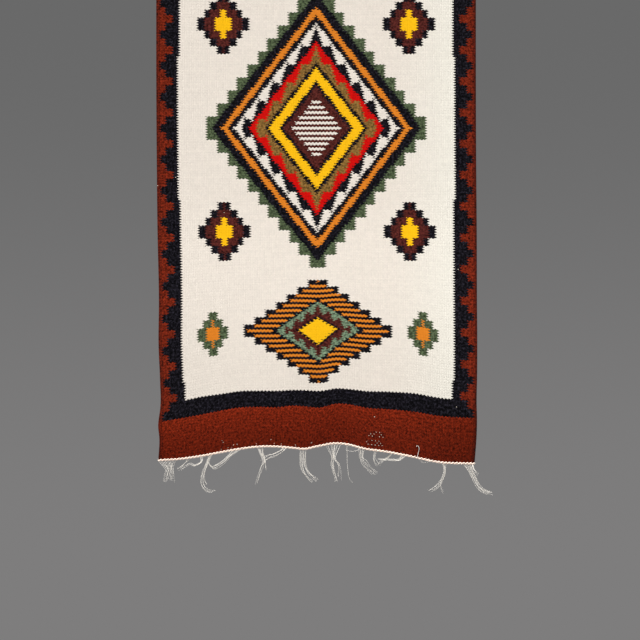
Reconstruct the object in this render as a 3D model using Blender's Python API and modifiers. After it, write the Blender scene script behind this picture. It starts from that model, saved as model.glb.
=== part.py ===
"""A woven wool wall hanging: one tapestry panel with a corded heading at each end and a fringe of warp ends.

Metres, +Z up. The origin is the middle of the top edge, which is what the hanging hangs by.
+X runs to the right of someone who faces it, and +Y points at the wall behind it.
"""

import math
import random
from collections import namedtuple

import bmesh
import bpy
import numpy as np
from mathutils import Vector

# The weave. A rib is one covered warp, and a bead is one pass of weft over it and back under it.
RIB_PITCH = 0.003568
RIBS = 179
BEAD_HEIGHT = 0.0052
BEADS = 249
BAND_BEADS = 15
STRIPE_BEADS = 6

CLOTH_WIDTH = RIB_PITCH * RIBS
CLOTH_LENGTH = BEAD_HEIGHT * BEADS
CLOTH_THICKNESS = 0.003
END_BAND = BAND_BEADS * BEAD_HEIGHT
FIELD_EDGE = END_BAND + STRIPE_BEADS * BEAD_HEIGHT

# The twisted cord that closes each end of the weave, and the room between it and the cloth.
CORD_RADIUS = 0.0020
SEAT_GAP = 0.0003
CORD_SEAT = SEAT_GAP + CORD_RADIUS

TOP_EDGE = -(CORD_SEAT + CORD_RADIUS)
HEM = TOP_EDGE - CLOTH_LENGTH

# The cloth hangs straight above this height over the hem, and arches and waves below it.
STRAIGHT_ABOVE = 0.52

# How far each weft line sags under the straight weave, by its place across the cloth.
WeftLine = namedtuple("WeftLine", "across hem band field")
WEFT_LINES = (
    WeftLine(-0.318, 0.0144, 0.0175, 0.0120),
    WeftLine(-0.278, 0.0122, 0.0106, 0.0064),
    WeftLine(-0.238, 0.0068, 0.0036, -0.0018),
    WeftLine(-0.198, -0.0006, -0.0046, -0.0074),
    WeftLine(-0.158, -0.0080, -0.0116, -0.0132),
    WeftLine(-0.118, -0.0130, -0.0130, -0.0138),
    WeftLine(-0.078, -0.0130, -0.0124, -0.0140),
    WeftLine(-0.050, -0.0106, -0.0158, -0.0154),
    WeftLine(-0.024, -0.0084, -0.0142, -0.0148),
    WeftLine(0.002, -0.0134, -0.0114, -0.0136),
    WeftLine(0.038, -0.0192, -0.0194, -0.0186),
    WeftLine(0.062, -0.0174, -0.0184, -0.0172),
    WeftLine(0.096, -0.0090, -0.0116, -0.0134),
    WeftLine(0.140, -0.0030, -0.0086, -0.0122),
    WeftLine(0.194, 0.0070, -0.0034, -0.0088),
    WeftLine(0.246, 0.0180, 0.0050, 0.0002),
    WeftLine(0.318, 0.0214, 0.0092, 0.0054),
)

# How far each selvedge stands right of its straight line, by height over the hem.
Selvedge = namedtuple("Selvedge", "height left right")
SELVEDGES = (
    Selvedge(0.000, 0.0030, -0.0028),
    Selvedge(0.045, 0.0060, 0.0000),
    Selvedge(0.071, 0.0040, 0.0004),
    Selvedge(0.105, 0.0086, -0.0006),
    Selvedge(0.155, 0.0078, 0.0004),
    Selvedge(0.225, 0.0046, 0.0010),
    Selvedge(0.305, 0.0050, 0.0008),
    Selvedge(0.445, 0.0016, 0.0010),
    Selvedge(0.585, 0.0000, 0.0000),
    Selvedge(1.300, 0.0000, 0.0000),
)

# The cloth leans out slowly to a soft crest over the hem, turns in below it, and ripples.
SWELL_DEPTH = 0.0145
SWELL_LEAN = 0.0030
CREST_HEIGHT = 0.084
CREST_SLANT = 0.010
CREST_ROUNDING = 0.25
RIPPLE_DEPTH = 0.003
RIPPLE_LENGTH = 0.300
RIPPLE_PHASE = 0.9
RIPPLE_FADE = 0.200

# The grid of the panel: columns, and rows that lie closer where the cloth waves.
COLUMNS = 48
ROW_HEIGHTS = (
    *np.linspace(0.0, 0.143, 12),
    *np.linspace(0.160, STRAIGHT_ABOVE, 12),
    0.585,
    CLOTH_LENGTH,
)

# Locks of warp ends. Places are metres right of the middle and below the straight hem.
# gather and splay are a lock's width where it draws in and at its tips, and lane is its depth.
Lock = namedtuple("Lock", "root_from root_to strands gather splay lane route")
LOCKS = (
    Lock(-0.314, -0.281, 8, 0.012, 0.022, 0.0, ((-0.296, 0.031), (-0.297, 0.043), (-0.299, 0.059))),
    Lock(-0.265, -0.249, 2, 0.003, 0.004, 0.0, ((-0.262, 0.022), (-0.273, 0.032), (-0.280, 0.039))),
    Lock(
        -0.235, -0.226, 3, 0.004, 0.005, -0.0035,
        ((-0.231, 0.019), (-0.243, 0.025), (-0.253, 0.022), (-0.265, 0.026), (-0.277, 0.037)),
    ),
    Lock(
        -0.215, -0.208, 4, 0.005, 0.007, 0.0,
        ((-0.219, 0.023), (-0.226, 0.042), (-0.229, 0.061), (-0.221, 0.075), (-0.204, 0.079)),
    ),
    Lock(
        -0.169, -0.148, 4, 0.005, 0.005, -0.0035,
        ((-0.173, 0.007), (-0.187, 0.021), (-0.205, 0.031), (-0.213, 0.024), (-0.216, 0.015)),
    ),
    Lock(
        -0.119, -0.110, 4, 0.005, 0.006, 0.0,
        ((-0.110, 0.009), (-0.109, 0.022), (-0.112, 0.045), (-0.121, 0.066)),
    ),
    Lock(-0.104, -0.101, 2, 0.002, 0.003, 0.0, ((-0.103, 0.008), (-0.100, 0.021), (-0.1025, 0.036))),
    Lock(
        -0.071, -0.060, 3, 0.004, 0.005, -0.0065,
        ((-0.073, 0.001), (-0.085, 0.007), (-0.098, 0.010), (-0.115, 0.021)),
    ),
    Lock(
        -0.034, -0.020, 8, 0.010, 0.013, 0.0,
        ((-0.027, 0.021), (-0.022, 0.038), (-0.011, 0.051), (0.002, 0.060)),
    ),
    Lock(
        0.016, 0.053, 9, 0.011, 0.017, 0.0,
        ((0.034, 0.007), (0.035, 0.025), (0.038, 0.043), (0.042, 0.059)),
    ),
    Lock(
        0.058, 0.064, 2, 0.002, 0.003, 0.0,
        ((0.061, 0.006), (0.060, 0.023), (0.058, 0.037), (0.069, 0.061)),
    ),
    Lock(0.083, 0.083, 1, 0.0, 0.0, -0.0035, ((0.081, -0.002), (0.071, 0.000), (0.056, 0.001))),
    Lock(
        0.087, 0.095, 5, 0.006, 0.010, 0.0,
        ((0.090, 0.009), (0.095, 0.019), (0.105, 0.030), (0.119, 0.044)),
    ),
    Lock(0.115, 0.121, 2, 0.002, 0.003, 0.0, ((0.116, 0.010), (0.119, 0.021), (0.1226, 0.027))),
    Lock(
        0.158, 0.176, 3, 0.004, 0.005, -0.0035,
        ((0.165, 0.014), (0.149, 0.015), (0.135, 0.015), (0.119, 0.011)),
    ),
    Lock(0.149, 0.154, 2, 0.002, 0.003, 0.0035, ((0.144, 0.009), (0.131, 0.016), (0.123, 0.027))),
    Lock(0.205, 0.205, 1, 0.0, 0.0, 0.0, ((0.210, 0.021), (0.217, 0.027), (0.224, 0.026), (0.227, 0.023))),
    Lock(
        0.251, 0.256, 3, 0.004, 0.007, 0.0,
        ((0.256, 0.037), (0.252, 0.051), (0.243, 0.064), (0.225, 0.076)),
    ),
    Lock(0.259, 0.259, 1, 0.0, 0.0, 0.0035, ((0.258, 0.038), (0.250, 0.057), (0.2566, 0.085))),
    Lock(
        0.290, 0.308, 8, 0.010, 0.010, 0.0,
        ((0.307, 0.040), (0.317, 0.058), (0.330, 0.073), (0.350, 0.086)),
    ),
    Lock(0.311, 0.314, 2, 0.002, 0.003, -0.0035, ((0.314, 0.033), (0.320, 0.041), (0.327, 0.048))),
)
STRAND_RADIUS = 0.00055
TIP_SHARE = 0.55
STRAND_STEPS = 9
STRAND_STAGGER = 0.0007
SHORTEST_STRAND = 0.80
FRINGE_SEED = 11

Finish = namedtuple("Finish", "name colour roughness")
TAPESTRY_WOOL = Finish("tapestry_wool", (0.80, 0.73, 0.65, 1.0), 0.92)
WARP_YARN = Finish("warp_yarn", (0.76, 0.70, 0.62, 1.0), 0.88)


def smooth_curve(stations, values):
    """A function that reads a smooth curve through values at rising stations."""
    stations = np.array(stations)
    values = np.array(values)
    slopes = np.gradient(values, stations)

    def read(position):
        place = min(max(position, stations[0]), stations[-1])
        i = min(int(np.searchsorted(stations, place, side="right")) - 1, len(stations) - 2)
        span = stations[i + 1] - stations[i]
        t = (place - stations[i]) / span
        rise = t * t * (3 - 2 * t)
        return (
            values[i] * (1 - rise)
            + values[i + 1] * rise
            + span * (slopes[i] * t * (1 - t) ** 2 - slopes[i + 1] * t * t * (1 - t))
        )

    return read


def table_column(rows, station, column):
    """The smooth curve that one column of a table gives."""
    return smooth_curve([getattr(r, station) for r in rows], [getattr(r, column) for r in rows])


hem_sag = table_column(WEFT_LINES, "across", "hem")
band_sag = table_column(WEFT_LINES, "across", "band")
field_sag = table_column(WEFT_LINES, "across", "field")
left_drift = table_column(SELVEDGES, "height", "left")
right_drift = table_column(SELVEDGES, "height", "right")


def ease(t):
    """0 to 1 with a level start and end."""
    t = min(max(t, 0.0), 1.0)
    return t * t * (3 - 2 * t)


def mix(a, b, t):
    return a + (b - a) * t


def weft_sag(across, height):
    """How far the weft line at this height over the hem sags under the straight weave."""
    if height < END_BAND:
        return mix(hem_sag(across), band_sag(across), height / END_BAND)
    if height < FIELD_EDGE:
        share = (height - END_BAND) / (FIELD_EDGE - END_BAND)
        return mix(band_sag(across), field_sag(across), share)
    share = (height - FIELD_EDGE) / (STRAIGHT_ABOVE - FIELD_EDGE)
    return field_sag(across) * (1 - ease(share))


def swell_share(across, height):
    """How much of its full depth the swell has: 1 along the crest, 0 at the hem and in the straight cloth."""
    crest = CREST_HEIGHT + CREST_SLANT * across / CLOTH_WIDTH
    if height > crest:
        return 1 - ease((height - crest) / (STRAIGHT_ABOVE - crest))
    turn = (crest - height) / crest
    return 1 - (1 + CREST_ROUNDING) * turn * turn / (turn + CREST_ROUNDING)


def cloth_depth(across, height):
    """Where the middle of the cloth's thickness lies: below 0 is towards the room."""
    swell = (SWELL_DEPTH + SWELL_LEAN * across / CLOTH_WIDTH) * swell_share(across, height)
    wave = math.sin(math.tau * across / RIPPLE_LENGTH + RIPPLE_PHASE)
    ripple = RIPPLE_DEPTH * wave * math.exp(-height / RIPPLE_FADE)
    return ripple * (1 - ease(height / STRAIGHT_ABOVE)) - swell


def cloth_point(share, height):
    """A point of the cloth's middle layer, by its share of the width and its height over the hem."""
    across = (share - 0.5) * CLOTH_WIDTH
    left = -CLOTH_WIDTH / 2 + left_drift(height)
    right = CLOTH_WIDTH / 2 + right_drift(height)
    return Vector(
        (
            mix(left, right, share),
            cloth_depth(across, height),
            HEM + height - weft_sag(across, height),
        )
    )


def hem_point(x):
    """The hem's point at this distance right of the middle."""
    left = cloth_point(0, 0).x
    right = cloth_point(1, 0).x
    return cloth_point((x - left) / (right - left), 0)


def cord_point(x):
    """The centre of the hem's cord, square off the hem by the cord's seat."""
    along = hem_point(x + RIB_PITCH) - hem_point(x - RIB_PITCH)
    return hem_point(x) + CORD_SEAT * Vector((along.z, 0, -along.x)).normalized()


def make_material(finish):
    material = bpy.data.materials.new(finish.name)
    material.use_nodes = True
    shader = material.node_tree.nodes["Principled BSDF"]
    shader.inputs["Base Color"].default_value = finish.colour
    shader.inputs["Roughness"].default_value = finish.roughness
    shader.inputs["Metallic"].default_value = 0.0
    return material


def make_collection(name):
    collection = bpy.data.collections.new(name)
    bpy.context.scene.collection.children.link(collection)
    return collection


def add_object(name, data, collection, material):
    obj = bpy.data.objects.new(name, data)
    collection.objects.link(obj)
    data.materials.append(material)
    return obj


def make_panel(collection, material):
    """The tapestry in one piece: a grid on the hanging's shape, thickened evenly to both faces."""
    rows = len(ROW_HEIGHTS) - 1
    mesh = bpy.data.meshes.new("woven_panel")
    bm = bmesh.new()
    bmesh.ops.create_grid(bm, x_segments=COLUMNS, y_segments=rows, size=1.0)
    for vert in bm.verts:
        share = (vert.co.x + 1) / 2
        row = round((vert.co.y + 1) / 2 * rows)
        vert.co = cloth_point(share, ROW_HEIGHTS[row])
    bmesh.ops.recalc_face_normals(bm, faces=bm.faces)
    bm.to_mesh(mesh)
    bm.free()
    mesh.shade_smooth()
    panel = add_object("woven_panel", mesh, collection, material)
    thickness = panel.modifiers.new("thickness", "SOLIDIFY")
    thickness.thickness = CLOTH_THICKNESS
    thickness.offset = 0.0
    return panel


def tube_curve(name, lines, radius, resolution):
    """A curve object's data: one round tube for each line of points with their share of the radius."""
    curve = bpy.data.curves.new(name, "CURVE")
    curve.dimensions = "3D"
    curve.bevel_depth = radius
    curve.bevel_resolution = resolution
    curve.use_fill_caps = True
    for line in lines:
        spline = curve.splines.new("POLY")
        spline.points.add(len(line) - 1)
        for point, (place, share) in zip(spline.points, line):
            point.co = (*place, 1.0)
            point.radius = share
    return curve


def closed_mesh(curve_object):
    """The curve's mesh with its caps welded on, in place of the curve."""
    graph = bpy.context.evaluated_depsgraph_get()
    mesh = bpy.data.meshes.new_from_object(curve_object.evaluated_get(graph))
    bm = bmesh.new()
    bm.from_mesh(mesh)
    bmesh.ops.remove_doubles(bm, verts=bm.verts, dist=1e-6)
    bmesh.ops.recalc_face_normals(bm, faces=bm.faces)
    bm.to_mesh(mesh)
    bm.free()
    mesh.shade_smooth()
    name = curve_object.name
    collection = curve_object.users_collection[0]
    place = curve_object.matrix_world.copy()
    bpy.data.objects.remove(curve_object)
    obj = bpy.data.objects.new(name, mesh)
    obj.matrix_world = place
    collection.objects.link(obj)
    return obj


def make_top_cord(collection, material):
    """The plain cord along the top edge, whose upper side is the hanging's highest line."""
    height = -CORD_RADIUS
    ends = [(Vector((side * CLOTH_WIDTH / 2, 0, height)), 1.0) for side in (-1, 1)]
    return add_object("top_cord", tube_curve("top_cord", [ends], CORD_RADIUS, 2), collection, material)


def curve_through(points, position):
    """A point of the smooth line through points, at a position from 0 to 1."""
    spans = len(points) - 1
    i = min(int(position * spans), spans - 1)
    t = position * spans - i
    before = points[max(i - 1, 0)]
    start = points[i]
    end = points[i + 1]
    after = points[min(i + 2, spans)]
    return 0.5 * (
        2 * start
        + (end - before) * t
        + (2 * before - 5 * start + 4 * end - after) * t**2
        + (3 * start - before - 3 * end + after) * t**3
    )


def lock_strands(lock, noise):
    """The lines of one lock's strands, side by side in the order of their roots."""
    middle_root = cord_point((lock.root_from + lock.root_to) / 2)
    centre = [middle_root] + [Vector((x, 0, HEM - below)) for x, below in lock.route]
    last = len(centre) - 1
    strands = []
    for n in range(lock.strands):
        side = n / max(lock.strands - 1, 1) - 0.5
        root = cord_point(mix(lock.root_from, lock.root_to, side + 0.5))
        depth = root.y + lock.lane + STRAND_STAGGER * (-1) ** n
        guide = [root]
        for k in range(1, last + 1):
            along = centre[min(k + 1, last)] - centre[k - 1]
            beside = Vector((-along.z, 0, along.x)).normalized()
            width = mix(lock.gather, lock.splay, (k - 1) / (last - 1))
            point = centre[k] + beside * side * width
            point.y = depth
            guide.append(point)
        length = mix(SHORTEST_STRAND, 1.0, noise.random())
        line = []
        for step in range(STRAND_STEPS + 1):
            share = step / STRAND_STEPS
            line.append((curve_through(guide, share * length), mix(1.0, TIP_SHARE, share)))
        strands.append(line)
    return strands


def make_fringed_cord(collection, helpers, material):
    """The cord along the hem with every lock of the fringe fused into it."""
    left = cloth_point(0, 0).x
    right = cloth_point(1, 0).x
    line = [(cord_point(mix(left, right, n / COLUMNS)), 1.0) for n in range(COLUMNS + 1)]
    cord_curve = tube_curve("fringed_cord", [line], CORD_RADIUS, 1)
    cord = closed_mesh(add_object("fringed_cord", cord_curve, collection, material))

    noise = random.Random(FRINGE_SEED)
    lines = [strand for lock in LOCKS for strand in lock_strands(lock, noise)]
    strand_curve = tube_curve("strands", lines, STRAND_RADIUS, 0)
    strands = closed_mesh(add_object("strands", strand_curve, helpers, material))
    strands.hide_render = True
    strands.display_type = "WIRE"

    join = cord.modifiers.new("fringe", "BOOLEAN")
    join.operation = "UNION"
    join.object = strands
    return cord


def main():
    for obj in list(bpy.data.objects):
        bpy.data.objects.remove(obj)
    hanging = make_collection("woven_wall_hanging")
    helpers = make_collection("helpers")
    wool = make_material(TAPESTRY_WOOL)
    warp = make_material(WARP_YARN)
    make_panel(hanging, wool)
    make_top_cord(hanging, warp)
    make_fringed_cord(hanging, helpers, warp)


main()
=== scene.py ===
"""A woven wool wall hanging, dressed: its tapestry, twisted cords, loose warp ends and a plain studio."""

import logging
import math
import random
from dataclasses import dataclass, field
from enum import Enum
from typing import Callable, NamedTuple, Sequence

import bpy
import numpy as np
from bpy.types import Light, Material, Node, NodeSocket, NodeTree, Object
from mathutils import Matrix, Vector


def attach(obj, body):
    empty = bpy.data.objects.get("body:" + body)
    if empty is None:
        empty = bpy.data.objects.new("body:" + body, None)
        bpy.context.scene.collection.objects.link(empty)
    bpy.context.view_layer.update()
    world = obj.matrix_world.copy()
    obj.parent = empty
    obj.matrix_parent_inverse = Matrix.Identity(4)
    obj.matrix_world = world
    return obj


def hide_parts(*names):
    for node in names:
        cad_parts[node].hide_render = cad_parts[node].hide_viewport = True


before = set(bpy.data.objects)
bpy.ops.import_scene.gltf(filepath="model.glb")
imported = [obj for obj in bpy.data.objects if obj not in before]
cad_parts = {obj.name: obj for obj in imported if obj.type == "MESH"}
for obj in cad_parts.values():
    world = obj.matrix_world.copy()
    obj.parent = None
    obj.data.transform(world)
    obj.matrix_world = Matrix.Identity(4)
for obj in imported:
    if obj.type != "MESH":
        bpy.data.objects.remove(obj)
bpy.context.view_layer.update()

log = logging.getLogger("hanging")

Array = np.ndarray
Pair = tuple[float, float]
Triple = tuple[float, float, float]
Colour = tuple[float, float, float, float]


def linear(*display: float) -> Colour:
    """The opaque linear colour for a display colour, whose parts run from 0 to 255."""
    share = np.array(display) / 255
    return (*np.where(share <= 0.04045, share / 12.92, ((share + 0.055) / 1.055) ** 2.4).tolist(), 1.0)


class Yarn(Enum):
    """The dyed and natural yarns, by display colour."""

    CREAM = (231, 221, 209)
    RUST = (135, 40, 16)
    DEEP_RUST = (111, 34, 16)
    BLACK = (11, 9, 14)
    YELLOW = (248, 188, 20)
    ORANGE = (218, 126, 36)
    MAROON = (80, 34, 29)
    RED = (202, 12, 8)
    OLIVE = (132, 98, 48)
    GREEN = (78, 90, 64)
    SAGE = (112, 132, 106)
    WARP = (240, 228, 208)
    CORD = (249, 226, 209)
    FRINGE = (232, 226, 216)

    @property
    def colour(self) -> Colour:
        """The yarn's linear colour."""
        return linear(*self.value)


@dataclass(frozen=True)
class Weave:
    """The counts of the weave. A rib is one covered warp, and a bead is one pass of weft over it."""

    rib_pitch: float = 0.003568
    ribs: int = 179
    bead_height: float = 0.0052
    beads: int = 249
    band_beads: int = 15
    stripe_beads: int = 6
    side_ribs: float = 12

    @property
    def width(self) -> float:
        """The cloth's width."""
        return self.rib_pitch * self.ribs

    @property
    def length(self) -> float:
        """The cloth's length."""
        return self.bead_height * self.beads

    @property
    def end_band(self) -> float:
        """How high the end band reaches over the hem."""
        return self.band_beads * self.bead_height

    @property
    def field_edge(self) -> float:
        """How high the field starts over the hem."""
        return self.end_band + self.stripe_beads * self.bead_height


class SmoothCurve:
    """A smooth curve through a table's values."""

    def __init__(self, stations: Sequence[float], values: Sequence[float]) -> None:
        """Args:
        stations: Rising places along the curve.
        values: The curve's value at each place.
        """
        self.stations = np.array(stations, float)
        self.values = np.array(values, float)
        self.slopes = np.gradient(self.values, self.stations)

    def __call__(self, places: Array) -> Array:
        """Reads the curve.

        Args:
            places: Where to read it.

        Returns:
            The curve's value at each place.
        """
        x = np.clip(places, self.stations[0], self.stations[-1])
        i = np.clip(np.searchsorted(self.stations, x, side="right") - 1, 0, len(self.stations) - 2)
        span = self.stations[i + 1] - self.stations[i]
        t = (x - self.stations[i]) / span
        rise = t * t * (3 - 2 * t)
        start = self.slopes[i] * t * (1 - t) ** 2
        end = self.slopes[i + 1] * t * t * (1 - t)
        return self.values[i] * (1 - rise) + self.values[i + 1] * rise + span * (start - end)


def ease(t: Array) -> Array:
    """0 to 1 with a level start and end."""
    t = np.clip(t, 0.0, 1.0)
    return t * t * (3 - 2 * t)


class WeftLine(NamedTuple):
    """How far three weft lines sag under the straight weave, at a place across the cloth."""

    across: float
    hem: float
    band: float
    field: float


class Selvedge(NamedTuple):
    """How far each selvedge stands right of its straight line, at a height over the hem."""

    height: float
    left: float
    right: float


WEFT_LINES = (
    WeftLine(-0.318, 0.0144, 0.0175, 0.0120),
    WeftLine(-0.278, 0.0122, 0.0106, 0.0064),
    WeftLine(-0.238, 0.0068, 0.0036, -0.0018),
    WeftLine(-0.198, -0.0006, -0.0046, -0.0074),
    WeftLine(-0.158, -0.0080, -0.0116, -0.0132),
    WeftLine(-0.118, -0.0130, -0.0130, -0.0138),
    WeftLine(-0.078, -0.0130, -0.0124, -0.0140),
    WeftLine(-0.050, -0.0106, -0.0158, -0.0154),
    WeftLine(-0.024, -0.0084, -0.0142, -0.0148),
    WeftLine(0.002, -0.0134, -0.0114, -0.0136),
    WeftLine(0.038, -0.0192, -0.0194, -0.0186),
    WeftLine(0.062, -0.0174, -0.0184, -0.0172),
    WeftLine(0.096, -0.0090, -0.0116, -0.0134),
    WeftLine(0.140, -0.0030, -0.0086, -0.0122),
    WeftLine(0.194, 0.0070, -0.0034, -0.0088),
    WeftLine(0.246, 0.0180, 0.0050, 0.0002),
    WeftLine(0.318, 0.0214, 0.0092, 0.0054),
)

SELVEDGES = (
    Selvedge(0.000, 0.0030, -0.0028),
    Selvedge(0.045, 0.0060, 0.0000),
    Selvedge(0.071, 0.0040, 0.0004),
    Selvedge(0.105, 0.0086, -0.0006),
    Selvedge(0.155, 0.0078, 0.0004),
    Selvedge(0.225, 0.0046, 0.0010),
    Selvedge(0.305, 0.0050, 0.0008),
    Selvedge(0.445, 0.0016, 0.0010),
    Selvedge(0.585, 0.0000, 0.0000),
    Selvedge(1.300, 0.0000, 0.0000),
)


@dataclass
class HangingShape:
    """How the cloth hangs: straight above, arched and waved near the hem."""

    weave: Weave = Weave()
    cord_radius: float = 0.0020
    seat_gap: float = 0.0003
    straight_above: float = 0.52
    swell_depth: float = 0.0145
    swell_lean: float = 0.0030
    crest_height: float = 0.084
    crest_slant: float = 0.010
    crest_rounding: float = 0.25
    ripple_depth: float = 0.003
    ripple_length: float = 0.300
    ripple_phase: float = 0.9
    ripple_fade: float = 0.200

    def __post_init__(self) -> None:
        """Reads the tables as smooth curves."""
        across, hem, band, field_edge = zip(*WEFT_LINES)
        self.hem_sag = SmoothCurve(across, hem)
        self.band_sag = SmoothCurve(across, band)
        self.field_sag = SmoothCurve(across, field_edge)
        heights, left, right = zip(*SELVEDGES)
        self.left_drift = SmoothCurve(heights, left)
        self.right_drift = SmoothCurve(heights, right)

    @property
    def cord_seat(self) -> float:
        """How far a cord's centre lies from the cloth's edge."""
        return self.seat_gap + self.cord_radius

    @property
    def hem(self) -> float:
        """The height of the straight hem."""
        return -(self.cord_seat + self.cord_radius) - self.weave.length

    def sag(self, across: Array, height: Array) -> Array:
        """How far the weft sags.

        Args:
            across: Places across the cloth, from its middle.
            height: Heights over the hem.

        Returns:
            How far each place lies under the straight weave.
        """
        end_band = self.weave.end_band
        field_edge = self.weave.field_edge
        low = np.clip(height / end_band, 0, 1)
        middle = np.clip((height - end_band) / (field_edge - end_band), 0, 1)
        fade = 1 - ease((height - field_edge) / (self.straight_above - field_edge))
        band = self.hem_sag(across) * (1 - low) + self.band_sag(across) * low
        return (band * (1 - middle) + self.field_sag(across) * middle) * fade

    def depth(self, across: Array, height: Array) -> Array:
        """Where the middle of the cloth's thickness lies: a swell with a crest, and a ripple along the hem.

        Args:
            across: Places across the cloth, from its middle.
            height: Heights over the hem.

        Returns:
            The depth of each place, below 0 towards the room.
        """
        crest = self.crest_height + self.crest_slant * across / self.weave.width
        above = 1 - ease((height - crest) / (self.straight_above - crest))
        turn = np.maximum((crest - height) / crest, 0.0)
        below = 1 - (1 + self.crest_rounding) * turn * turn / (turn + self.crest_rounding)
        lean = self.swell_depth + self.swell_lean * across / self.weave.width
        wave = np.sin(math.tau * across / self.ripple_length + self.ripple_phase)
        ripple = self.ripple_depth * wave * np.exp(-height / self.ripple_fade)
        swell = lean * np.where(height > crest, above, below)
        return ripple * (1 - ease(height / self.straight_above)) - swell

    def points(self, share: Array, height: Array) -> Array:
        """Points of the cloth's middle layer.

        Args:
            share: Shares of the cloth's width, from the left.
            height: Heights over the hem.

        Returns:
            One row of x, y, z for each place.
        """
        half = self.weave.width / 2
        across = (share - 0.5) * self.weave.width
        left = -half + self.left_drift(height)
        right = half + self.right_drift(height)
        x = left + (right - left) * share
        z = self.hem + height - self.sag(across, height)
        return np.column_stack((x, self.depth(across, height), z))

    @property
    def hem_ends(self) -> Pair:
        """How far right of the middle the hem's two ends lie."""
        left, right = self.points(np.array([0.0, 1.0]), np.zeros(2))[:, 0]
        return left, right

    def hem_points(self, x: Array) -> Array:
        """The hem's points at these distances right of the middle."""
        left, right = self.hem_ends
        return self.points((x - left) / (right - left), np.zeros_like(x))

    def cord_line(self, x: Array) -> Array:
        """The centre line of the hem's cord, square off the hem.

        Args:
            x: Distances right of the middle.

        Returns:
            One row of x, y, z for each distance.
        """
        step = self.weave.rib_pitch
        along = self.hem_points(x + step) - self.hem_points(x - step)
        down = np.column_stack((along[:, 2], np.zeros(len(x)), -along[:, 0]))
        down /= np.linalg.norm(down, axis=1)[:, None]
        return self.hem_points(x) + self.cord_seat * down


@dataclass
class Sheet:
    """A node tree to draw on."""

    tree: NodeTree

    def feed(self, socket: NodeSocket, value: object) -> None:
        """Feeds a socket.

        Args:
            socket: The input to feed.
            value: Another socket, a Number or a constant.
        """
        source = value.socket if isinstance(value, Number) else value
        if isinstance(source, NodeSocket):
            self.tree.links.new(source, socket)
        else:
            socket.default_value = source

    def add(self, kind: str, feeds: dict[int | str, object] | None = None, **settings: object) -> Node:
        """Adds a node.

        Args:
            kind: The node's type.
            feeds: What its inputs are fed, by name or number.
            settings: Its properties.

        Returns:
            The node.
        """
        node = self.tree.nodes.new(kind)
        for name, value in settings.items():
            setattr(node, name, value)
        for name, value in (feeds or {}).items():
            self.feed(node.inputs[name], value)
        return node

    def number(self, kind: str, feeds: dict, output: int | str = 0, **settings: object) -> "Number":
        """Adds a node and gives one of its outputs as a Number."""
        return Number(self, self.add(kind, feeds, **settings).outputs[output])

    def math(self, operation: str, *values: object) -> "Number":
        """The result of a Math node."""
        return self.number("ShaderNodeMath", dict(enumerate(values)), operation=operation)

    def combine(self, *parts: object) -> NodeSocket:
        """A vector from its parts."""
        return self.add("ShaderNodeCombineXYZ", dict(enumerate(parts))).outputs[0]

    def separate(self, vector: NodeSocket) -> list["Number"]:
        """The three parts of a vector."""
        node = self.add("ShaderNodeSeparateXYZ", {0: vector})
        return [Number(self, socket) for socket in node.outputs]

    def mix(self, under: object, over: object, mask: object = 1.0, blend: str = "MIX") -> NodeSocket:
        """One colour laid over another where the mask is 1, blended in one of the Mix node's ways."""
        feeds = {0: mask, 6: under, 7: over}
        return self.add("ShaderNodeMix", feeds, data_type="RGBA", blend_type=blend).outputs[2]

    def noise(self, place: object, scale: float, detail: float = 2.0) -> "Number":
        """Soft noise from 0 to 1, with this many swells to a unit and this many finer layers."""
        feeds = {"Vector": place, "Scale": scale, "Detail": detail}
        return self.number("ShaderNodeTexNoise", feeds, "Fac")

    def chance(self, *parts: object) -> "Number":
        """A steady random number from 0 to 1 for each place, given by its parts."""
        feeds = {"Vector": self.combine(*parts)}
        return self.number("ShaderNodeTexWhiteNoise", feeds, "Value", noise_dimensions="3D")

    def group(self, tree: NodeTree, **feeds: object) -> dict[str, "Number"]:
        """Places a node group, its inputs fed by name, and gives its outputs by name."""
        node = self.add("ShaderNodeGroup", feeds, node_tree=tree)
        return {socket.name: Number(self, socket) for socket in node.outputs}


def maths(operation: str, swapped: bool = False) -> Callable[..., "Number"]:
    """Makes a method of Number that adds one kind of Math node.

    Args:
        operation: The node's operation.
        swapped: Whether the number itself is the second input.

    Returns:
        The method.
    """

    def method(self: "Number", *others: object) -> "Number":
        """The node's result."""
        return self.sheet.math(operation, *((*others, self) if swapped else (self, *others)))

    return method


@dataclass
class Number:
    """A number that varies over a surface, with the arithmetic of Math nodes.

    below is 1 where it is under the other, bounce runs to and fro, and fract is what a floor leaves.
    """

    sheet: Sheet
    socket: NodeSocket

    __add__ = maths("ADD")
    __sub__ = maths("SUBTRACT")
    __rsub__ = maths("SUBTRACT", swapped=True)
    __mul__ = maths("MULTIPLY")
    __truediv__ = maths("DIVIDE")
    __pow__ = maths("POWER")
    __abs__ = maths("ABSOLUTE")
    below = maths("LESS_THAN")
    floor = maths("FLOOR")
    fract = maths("FRACT")
    least = maths("MINIMUM")
    most = maths("MAXIMUM")
    bounce = maths("PINGPONG")

    def sway(self, half: float) -> "Number":
        """A zigzag from 0 to 1 that turns after each half."""
        return self.bounce(half) / half

    def side(self) -> "Number":
        """0 midway between two whole numbers, 1 at each."""
        return abs(self.fract() - 0.5) * 2

    def paint(self, under: object, over: object) -> NodeSocket:
        """One colour laid over another by this much."""
        return self.sheet.mix(under, over, self)

    def fall(self, start: float, end: float) -> "Number":
        """1 at start, 0 at end, smooth between.

        Args:
            start: Where it is still 1.
            end: Where it is 0.

        Returns:
            The smooth fall.
        """
        first = 1.0 if start < end else 0.0
        feeds = {"Value": self, "From Min": min(start, end), "From Max": max(start, end)}
        feeds |= {"To Min": first, "To Max": 1.0 - first}
        return self.sheet.number("ShaderNodeMapRange", feeds, "Result", interpolation_type="SMOOTHSTEP")


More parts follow.
